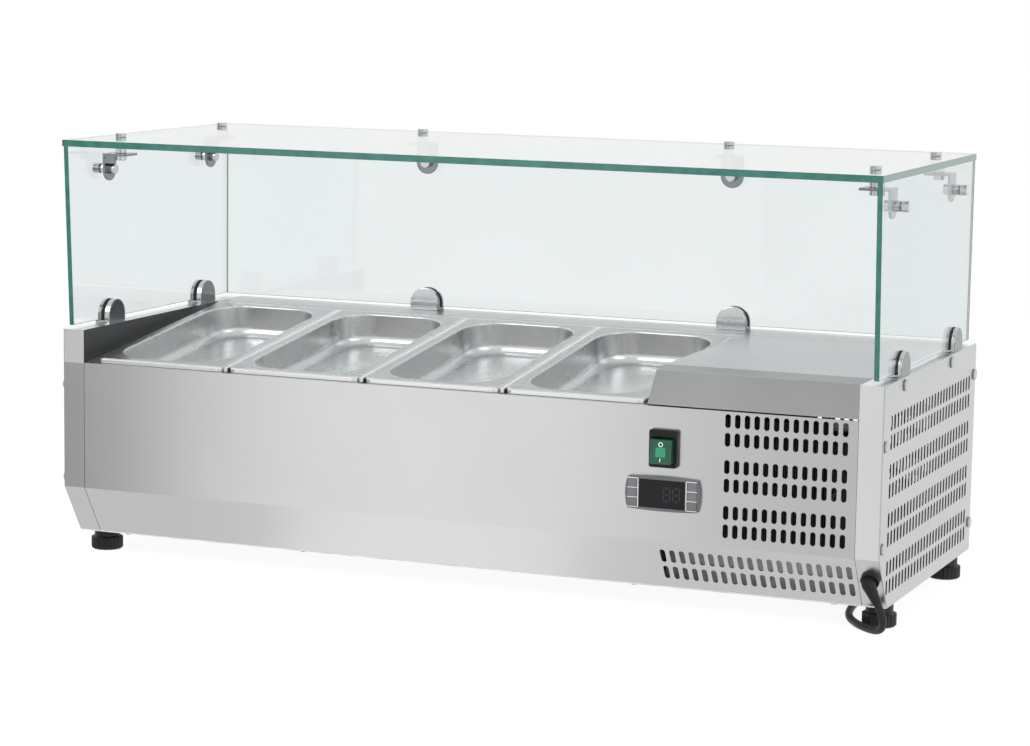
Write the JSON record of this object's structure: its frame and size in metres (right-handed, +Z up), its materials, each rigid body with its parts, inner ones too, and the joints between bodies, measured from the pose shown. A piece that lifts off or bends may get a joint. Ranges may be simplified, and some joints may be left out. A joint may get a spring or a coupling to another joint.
{
  "type": "countertop topping fridge",
  "caption": "Countertop topping fridge: steel body with sunken food pans in a row, a hood over the cooling unit, vents, and a glass guard that is open at the front.",
  "frame": {"origin": "on the counter, under the middle of the object without its mains lead", "axes": "+X to the right as seen from the front, +Y to the back, +Z up"},
  "size_m": [1.0615, 0.5887, 0.528],
  "materials": {
    "casing_steel": "fine brushed stainless sheet",
    "pan_steel": "drawn stainless sheet",
    "screw_steel": "plain steel",
    "glass": "clear float glass with green edges",
    "chrome": "polished",
    "black_rubber": "matt",
    "black_plastic": "fine grain",
    "green_plastic": "clear green, lit from behind",
    "grey_plastic": "fine grain",
    "display": "smoked window",
    "foam": "rigid foam",
    "copper": "drawn tube",
    "black_paint": "satin",
    "fins": "fin pack",
    "probe_metal": "plain"
  },
  "bodies": {
    "body": {"back_glass": "glass", "base_tray": "casing_steel", "bracket_bars": "chrome", "bracket_posts": "chrome", "bulkhead": "casing_steel", "clamp_gaskets": "black_rubber", "compressor": "black_paint", "compressor_hood": "casing_steel", "compressor_mounts": "black_rubber", "condenser": "fins", "controller_bezel": "grey_plastic", "controller_window": "display", "cord_coil": "black_rubber", "cord_gland": "black_plastic", "cord_lead": "black_rubber", "cord_tail": "black_rubber", "cord_tie": "black_plastic", "divider_bars": "casing_steel", "evaporator_coil": "copper", "fan_motor": "black_paint", "fan_shroud": "black_paint", "filter_drier": "copper", "foot_nuts": "screw_steel", "front_panel": "casing_steel", "glass_clamps": "chrome", "insulation": "foam", "left_end_cap": "casing_steel", "left_glass": "glass", "left_side_panel": "casing_steel", "plug": "black_plastic", "rear_panel": "casing_steel", "rear_screws": "screw_steel", "refrigerant_tubes": "copper", "right_end_cap": "casing_steel", "right_glass": "glass", "right_side_grille": "casing_steel", "side_screws": "screw_steel", "standoff_bolts": "chrome", "switch_bezel": "black_plastic", "temperature_probe": "probe_metal", "terminal_box": "black_plastic", "top_glass": "glass", "tray_screws": "screw_steel", "well_liner": "casing_steel"},
    "pan_1": {"pan_1": "pan_steel"},
    "pan_2": {"pan_2": "pan_steel"},
    "pan_3": {"pan_3": "pan_steel"},
    "pan_4": {"pan_4": "pan_steel"},
    "rocker": {"switch_rocker": "green_plastic"},
    "fan": {"fan_blades": "black_plastic"},
    "front_left_foot": {"foot_front_left": "black_plastic"},
    "front_right_foot": {"foot_front_right": "black_plastic"},
    "rear_left_foot": {"foot_rear_left": "black_plastic"},
    "rear_right_foot": {"foot_rear_right": "black_plastic"},
    "controller_key_1": {"key_1": "grey_plastic"},
    "controller_key_2": {"key_2": "grey_plastic"},
    "controller_key_3": {"key_3": "grey_plastic"},
    "controller_key_4": {"key_4": "grey_plastic"},
    "controller_key_5": {"key_5": "grey_plastic"},
    "controller_key_6": {"key_6": "grey_plastic"}
  },
  "joints": [
    {"name": "pan_1_lift", "type": "slide", "parent": "body", "child": "pan_1", "axis": [0, -0.1133, 0.9936], "range_m": [0, 0.08]},
    {"name": "pan_2_lift", "type": "slide", "parent": "body", "child": "pan_2", "axis": [0, -0.1133, 0.9936], "range_m": [0, 0.08]},
    {"name": "pan_3_lift", "type": "slide", "parent": "body", "child": "pan_3", "axis": [0, -0.1133, 0.9936], "range_m": [0, 0.08]},
    {"name": "pan_4_lift", "type": "slide", "parent": "body", "child": "pan_4", "axis": [0, -0.1133, 0.9936], "range_m": [0, 0.08]},
    {"name": "rocker_tilt", "type": "hinge", "parent": "body", "child": "rocker", "pos_m": [0.267, -0.20677, 0.1965], "axis": [1, 0, 0], "range_deg": [0, 10]},
    {"name": "key_1_press", "type": "slide", "parent": "body", "child": "controller_key_1", "axis": [0, 1, 0], "range_m": [0, 0.0006], "stiffness_N_per_m": 800, "springref_m": -0.0005},
    {"name": "key_2_press", "type": "slide", "parent": "body", "child": "controller_key_2", "axis": [0, 1, 0], "range_m": [0, 0.0006], "stiffness_N_per_m": 800, "springref_m": -0.0005},
    {"name": "key_3_press", "type": "slide", "parent": "body", "child": "controller_key_3", "axis": [0, 1, 0], "range_m": [0, 0.0006], "stiffness_N_per_m": 800, "springref_m": -0.0005},
    {"name": "key_4_press", "type": "slide", "parent": "body", "child": "controller_key_4", "axis": [0, 1, 0], "range_m": [0, 0.0006], "stiffness_N_per_m": 800, "springref_m": -0.0005},
    {"name": "key_5_press", "type": "slide", "parent": "body", "child": "controller_key_5", "axis": [0, 1, 0], "range_m": [0, 0.0006], "stiffness_N_per_m": 800, "springref_m": -0.0005},
    {"name": "key_6_press", "type": "slide", "parent": "body", "child": "controller_key_6", "axis": [0, 1, 0], "range_m": [0, 0.0006], "stiffness_N_per_m": 800, "springref_m": -0.0005},
    {"name": "fan_spin", "type": "hinge", "parent": "body", "child": "fan", "pos_m": [0.35325, -0.10727, 0.1345], "axis": [0, 1, 0], "continuous": true},
    {"name": "front_left_foot_screw", "type": "slide", "parent": "body", "child": "front_left_foot", "axis": [0, 0, 1], "range_m": [-0.01, 0]},
    {"name": "front_right_foot_screw", "type": "slide", "parent": "body", "child": "front_right_foot", "axis": [0, 0, 1], "range_m": [-0.01, 0]},
    {"name": "rear_left_foot_screw", "type": "slide", "parent": "body", "child": "rear_left_foot", "axis": [0, 0, 1], "range_m": [-0.01, 0]},
    {"name": "rear_right_foot_screw", "type": "slide", "parent": "body", "child": "rear_right_foot", "axis": [0, 0, 1], "range_m": [-0.01, 0]}
  ]
}
